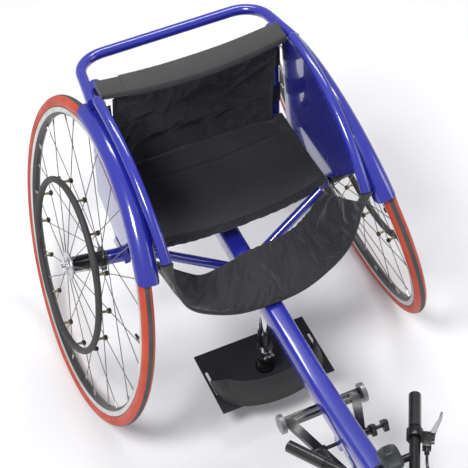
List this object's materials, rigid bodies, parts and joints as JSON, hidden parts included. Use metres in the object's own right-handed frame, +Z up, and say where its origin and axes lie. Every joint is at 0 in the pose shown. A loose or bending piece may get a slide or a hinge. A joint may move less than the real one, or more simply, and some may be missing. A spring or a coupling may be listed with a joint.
{
  "type": "racing wheelchair",
  "caption": "Long three-wheeled racing wheelchair with cambered push wheels, sling seat in a side-panelled cage, centre beam, footrest, compensator and spoked front wheel.",
  "frame": {"origin": "on the floor, at the middle of the length and width", "axes": "+X to the occupant's left, -Y the way the occupant faces, +Z up"},
  "size_m": [0.7376, 1.7664, 0.6979],
  "materials": {
    "blue_paint": "gloss",
    "tyre_rubber": "satin",
    "rim_alloy": "satin",
    "steel": "satin",
    "hub_alloy": "satin",
    "black_plastic": "matt",
    "black_paint": "satin",
    "black_cloth": "matt",
    "webbing": "matt",
    "chrome": "polished",
    "alloy": "satin",
    "grip_rubber": "gloss"
  },
  "bodies": {
    "frame": {"main_beam": "blue_paint", "head_tube": "blue_paint", "headset_cups": "black_paint", "axle_tube": "blue_paint", "axle_pins": "steel", "side_tube_left": "blue_paint", "side_tube_right": "blue_paint", "fender_left": "blue_paint", "fender_right": "blue_paint", "side_panel_left": "blue_paint", "side_panel_right": "blue_paint", "push_bar": "blue_paint", "cage_tubes": "blue_paint", "tube_plugs": "black_plastic", "seat_sling": "black_cloth", "back_upholstery": "black_cloth", "back_roll": "black_cloth", "back_straps": "webbing", "front_sling": "black_cloth", "footrest_stem": "chrome"},
    "footrest_clamp": {"footrest_post": "black_paint", "footrest_collar": "chrome"},
    "footrest": {"footrest_base": "black_paint", "footplate": "black_paint", "foot_strap": "webbing"},
    "rear_wheel_left": {"rear_tyre_left": "tyre_rubber", "rear_rim_left": "rim_alloy", "rear_spokes_left": "steel", "rear_hub_left": "hub_alloy", "pushrim_left": "black_paint", "pushrim_tabs_left": "black_plastic"},
    "rear_wheel_right": {"rear_tyre_right": "tyre_rubber", "rear_rim_right": "rim_alloy", "rear_spokes_right": "steel", "rear_hub_right": "hub_alloy", "pushrim_right": "black_paint", "pushrim_tabs_right": "black_plastic"},
    "release_left": {"release_button_left": "steel"},
    "release_right": {"release_button_right": "steel"},
    "compensator": {"compensator_frame": "black_paint", "compensator_pads": "alloy"},
    "stop_screw_left": {"stop_screw_left": "black_plastic"},
    "stop_screw_right": {"stop_screw_right": "black_plastic"},
    "lock_knob": {"lock_knob_left": "black_plastic"},
    "damper": {"damper_cylinder": "black_paint"},
    "damper_piston": {"damper_rod": "steel"},
    "steering": {"fork": "blue_paint", "handlebar": "black_paint", "grips": "grip_rubber", "brake_clamp": "black_paint", "brake_cable": "grip_rubber", "computer": "black_plastic"},
    "brake_lever": {"brake_lever": "alloy"},
    "caliper_left": {"caliper_left": "alloy"},
    "caliper_right": {"caliper_right": "alloy"},
    "computer_button": {"computer_button": "grip_rubber"},
    "front_wheel": {"front_tyre": "tyre_rubber", "front_rim": "rim_alloy", "front_spokes": "steel", "front_hub": "hub_alloy"}
  },
  "joints": [
    {"name": "rear_wheel_left_spin", "type": "hinge", "parent": "frame", "child": "rear_wheel_left", "pos_m": [0.287, 0.54725, 0.32938], "axis": [0.9781, 0, 0.2079], "continuous": true},
    {"name": "rear_wheel_right_spin", "type": "hinge", "parent": "frame", "child": "rear_wheel_right", "pos_m": [-0.287, 0.54725, 0.32938], "axis": [-0.9781, 0, 0.2079], "continuous": true},
    {"name": "release_left_press", "type": "slide", "parent": "frame", "child": "release_left", "axis": [-0.9781, 0, -0.2079], "range_m": [0, 0.003], "stiffness_N_per_m": 600, "springref_m": -0.001},
    {"name": "release_right_press", "type": "slide", "parent": "frame", "child": "release_right", "axis": [0.9781, 0, -0.2079], "range_m": [0, 0.003], "stiffness_N_per_m": 600, "springref_m": -0.001},
    {"name": "steer", "type": "hinge", "parent": "frame", "child": "steering", "pos_m": [0, -0.32075, 0.4], "axis": [0, 0.4226, 0.9063], "range_deg": [-20, 20], "stiffness_Nm_per_rad": 12},
    {"name": "front_wheel_spin", "type": "hinge", "parent": "steering", "child": "front_wheel", "pos_m": [0, -0.63275, 0.2505], "axis": [1, 0, 0], "continuous": true},
    {"name": "footrest_height", "type": "slide", "parent": "frame", "child": "footrest_clamp", "axis": [0, 0, 1], "range_m": [-0.03, 0.03]},
    {"name": "footrest_swivel", "type": "hinge", "parent": "footrest_clamp", "child": "footrest", "pos_m": [0, 0.32725, 0.08], "axis": [0, 0, 1], "range_deg": [-15, 15]},
    {"name": "compensator_swing", "type": "hinge", "parent": "frame", "child": "compensator", "pos_m": [0, -0.12075, 0.258], "axis": [0, -0.0976, 0.9952], "range_deg": [0, 5]},
    {"name": "stop_screw_left_travel", "type": "slide", "parent": "compensator", "child": "stop_screw_left", "axis": [1, 0, 0], "range_m": [0, 0.006]},
    {"name": "stop_screw_right_travel", "type": "slide", "parent": "compensator", "child": "stop_screw_right", "axis": [-1, 0, 0], "range_m": [0, 0.004]},
    {"name": "lock_knob_turn", "type": "hinge", "parent": "stop_screw_left", "child": "lock_knob", "pos_m": [0.046, -0.01526, 0.26834], "axis": [1, 0, 0], "range_deg": [-90, 90]},
    {"name": "damper_pivot", "type": "hinge", "parent": "compensator", "child": "damper", "pos_m": [0.027, -0.13667, 0.25644], "axis": [0, -0.0976, 0.9952], "range_deg": [-6, 1]},
    {"name": "damper_stroke", "type": "slide", "parent": "damper", "child": "damper_piston", "axis": [0, -0.9903, 0.1386], "range_m": [-0.0105, 0.0105]},
    {"name": "brake_lever_pull", "type": "hinge", "parent": "steering", "child": "brake_lever", "pos_m": [0.09888, -0.15554, 0.41138], "axis": [0.0797, 0.1418, 0.9867], "range_deg": [0, 20], "stiffness_Nm_per_rad": 2, "springref_deg": -11.46},
    {"name": "caliper_left_close", "type": "hinge", "parent": "steering", "child": "caliper_left", "pos_m": [0, -0.37769, 0.32109], "axis": [0, 0.2667, -0.9638], "range_deg": [0, 0.994]},
    {"name": "caliper_right_close", "type": "hinge", "parent": "steering", "child": "caliper_right", "pos_m": [0, -0.37769, 0.32109], "axis": [0, -0.2667, 0.9638], "range_deg": [0, 0.994]},
    {"name": "computer_button_press", "type": "slide", "parent": "steering", "child": "computer_button", "axis": [0, 0.2079, -0.9781], "range_m": [0, 0.001], "stiffness_N_per_m": 400, "springref_m": -0.001}
  ],
  "couplings": [
    {"joint": "damper_stroke", "follows": "steer", "m_per_rad": -0.025816},
    {"joint": "damper_pivot", "follows": "compensator_swing", "ratio": -1},
    {"joint": "caliper_left_close", "follows": "brake_lever_pull", "ratio": 0.04922},
    {"joint": "caliper_right_close", "follows": "brake_lever_pull", "ratio": 0.04922}
  ]
}
